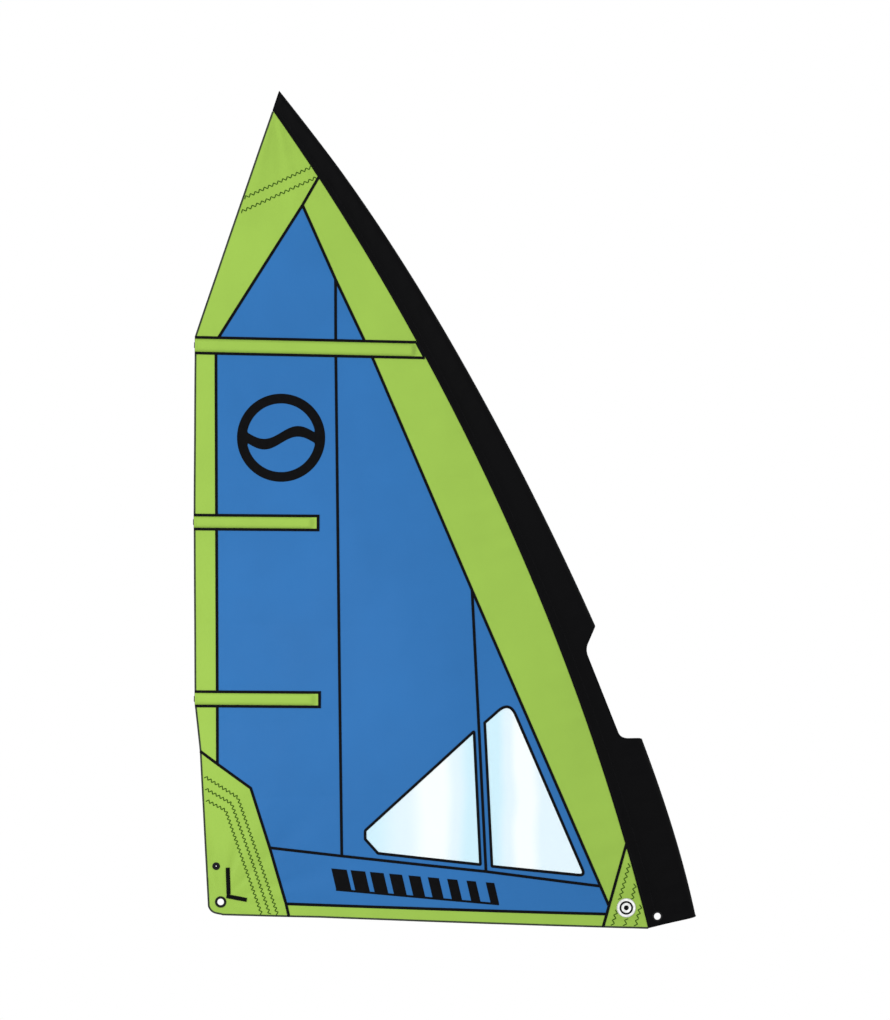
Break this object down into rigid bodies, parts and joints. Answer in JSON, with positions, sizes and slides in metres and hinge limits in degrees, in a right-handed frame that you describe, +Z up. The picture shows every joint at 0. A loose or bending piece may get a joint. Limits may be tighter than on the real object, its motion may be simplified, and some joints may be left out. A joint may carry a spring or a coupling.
{
  "type": "windsurf sail",
  "caption": "Windsurf sail with a luff sleeve and boom cut-out, sewn cloth panels, clear film windows, sliding battens in pockets and clew, outhaul and tack eyelets.",
  "frame": {"origin": "mouth of the luff sleeve, on the mast's axis", "axes": "+Z up along the luff, +X towards the mast and -X towards the leech, the belly of the sail swells to -Y"},
  "size_m": [2.3449, 0.1548, 3.908],
  "materials": {
    "blue_cloth": "resin-finished woven sailcloth, low sheen",
    "green_cloth": "resin-finished woven sailcloth, low sheen",
    "black_sleeve_cloth": "matte heavy woven polyester",
    "black_tape": "matte woven tape",
    "window_film": "clear smooth film",
    "black_metal": "black anodised",
    "webbing": "ribbed woven webbing",
    "black_plastic": "moulded, fine texture",
    "glass_fibre": "pultruded, satin",
    "badge": "printed woven patch"
  },
  "bodies": {
    "sail": {"head_patch": "green_cloth", "luff_panel_upper": "green_cloth", "upper_panel_aft": "blue_cloth", "upper_panel_fore": "blue_cloth", "luff_panel_lower": "green_cloth", "leech_panel": "green_cloth", "body_panel_aft": "blue_cloth", "body_panel_middle": "blue_cloth", "body_panel_fore": "blue_cloth", "foot_panel": "blue_cloth", "foot_strip": "green_cloth", "clew_patch": "green_cloth", "tack_patch": "green_cloth", "head_seam_tape": "black_tape", "luff_seam_tape_upper": "black_tape", "luff_seam_tape_lower": "black_tape", "aft_seam_tape_upper": "black_tape", "aft_seam_tape_lower": "black_tape", "fore_seam_tape": "black_tape", "leech_seam_tape_upper": "black_tape", "leech_seam_tape_middle": "black_tape", "leech_seam_tape_lower": "black_tape", "foot_seam_tape": "black_tape", "foot_strip_seam_tape": "black_tape", "clew_seam_tape": "black_tape", "tack_seam_tape": "black_tape", "window_tape_aft": "black_tape", "window_tape_fore": "black_tape", "leech_hem": "black_tape", "foot_hem": "black_tape", "emblem": "black_tape", "foot_stripe": "black_tape", "window_aft": "window_film", "window_fore": "window_film", "luff_sleeve": "black_sleeve_cloth", "luff_sleeve_head": "black_sleeve_cloth", "mast_tip_cap": "black_plastic", "tack_badge": "badge", "clew_strap_leech": "webbing", "clew_strap_foot": "webbing", "clew_eyelet_ring": "black_metal", "clew_eyelet_washer": "black_metal", "outhaul_eyelet_ring": "black_metal", "outhaul_eyelet_washer": "black_metal", "tack_eyelet_ring": "black_metal", "tack_eyelet_washer": "black_metal", "top_batten_pocket": "green_cloth", "middle_batten_pocket": "green_cloth", "lower_batten_pocket": "green_cloth"},
    "top_batten_assembly": {"top_batten": "glass_fibre", "top_batten_end_cap": "black_plastic", "top_batten_tip": "black_plastic"},
    "middle_batten_assembly": {"middle_batten": "glass_fibre", "middle_batten_end_cap": "black_plastic", "middle_batten_tip": "black_plastic"},
    "lower_batten_assembly": {"lower_batten": "glass_fibre", "lower_batten_end_cap": "black_plastic", "lower_batten_tip": "black_plastic"}
  },
  "joints": [
    {"name": "top_batten_slide", "type": "slide", "parent": "sail", "child": "top_batten_assembly", "axis": [-0.9969, -0.0765, 0.0198], "range_m": [0, 1]},
    {"name": "middle_batten_slide", "type": "slide", "parent": "sail", "child": "middle_batten_assembly", "axis": [-0.9998, 0.0185, 0.0078], "range_m": [0, 0.53]},
    {"name": "lower_batten_slide", "type": "slide", "parent": "sail", "child": "lower_batten_assembly", "axis": [-0.9934, 0.1144, 0.0034], "range_m": [0, 0.535]}
  ]
}
